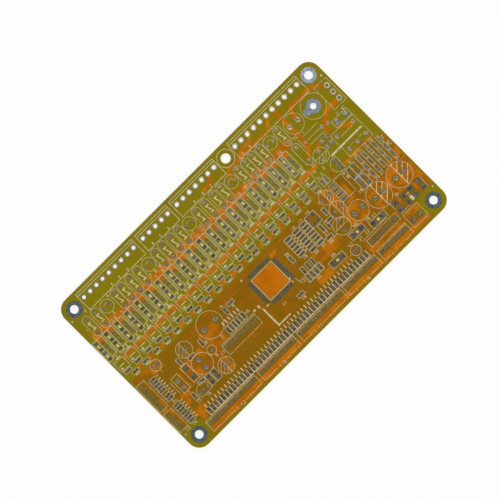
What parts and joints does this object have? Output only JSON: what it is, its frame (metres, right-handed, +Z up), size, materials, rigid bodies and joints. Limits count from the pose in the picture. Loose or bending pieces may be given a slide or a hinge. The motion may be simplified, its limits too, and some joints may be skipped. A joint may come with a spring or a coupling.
{
  "type": "bare circuit board",
  "caption": "Unpopulated rectangular circuit board with an olive solder mask, tinned lands and plated holes, a printed legend and a mounting hole in each rounded corner.",
  "frame": {"origin": "centre of the board's underside, on the plane that it rests on", "axes": "+X along the board's long side, +Y across it towards the edge with the row of output sockets, +Z up out of the component side"},
  "size_m": [0.162, 0.092, 0.0016],
  "materials": {
    "glass_fibre": "satin",
    "solder_mask": "gloss",
    "copper_foil": "satin",
    "tin": "satin",
    "bright_tin": "polished",
    "legend_ink": "matte"
  },
  "bodies": {
    "root": {"laminate": "glass_fibre", "top_mask": "solder_mask", "bottom_mask": "solder_mask", "bottom_copper": "copper_foil", "supply_rail": "copper_foil", "driver_rail": "copper_foil", "socket_feed_tracks": "copper_foil", "power_pours": "copper_foil", "logic_pours": "copper_foil", "controller_heat_square": "copper_foil", "edge_return_strip": "copper_foil", "gate_tracks": "copper_foil", "logic_tracks": "copper_foil", "header_tracks": "copper_foil", "socket_1_barrels": "bright_tin", "socket_2_barrels": "bright_tin", "socket_3_barrels": "bright_tin", "socket_4_barrels": "bright_tin", "lower_header_barrels": "tin", "side_header_barrels": "tin", "service_header_barrels": "tin", "fuse_barrels": "tin", "channel_barrels": "tin", "round_part_barrels": "tin", "relay_barrels": "tin", "inlet_barrels": "bright_tin", "mounting_hole_lands": "bright_tin", "earth_land": "bright_tin", "fiducials": "bright_tin", "vias": "copper_foil", "channel_lands": "tin", "gate_resistor_lands": "tin", "controller_lands": "tin", "header_resistor_lands": "tin", "chip_lands": "tin", "large_lands": "tin", "legend_sockets": "legend_ink", "legend_fuses": "legend_ink", "legend_channels": "legend_ink", "legend_drivers": "legend_ink", "legend_logic": "legend_ink", "legend_power": "legend_ink", "legend_headers": "legend_ink"}
  },
  "joints": []
}
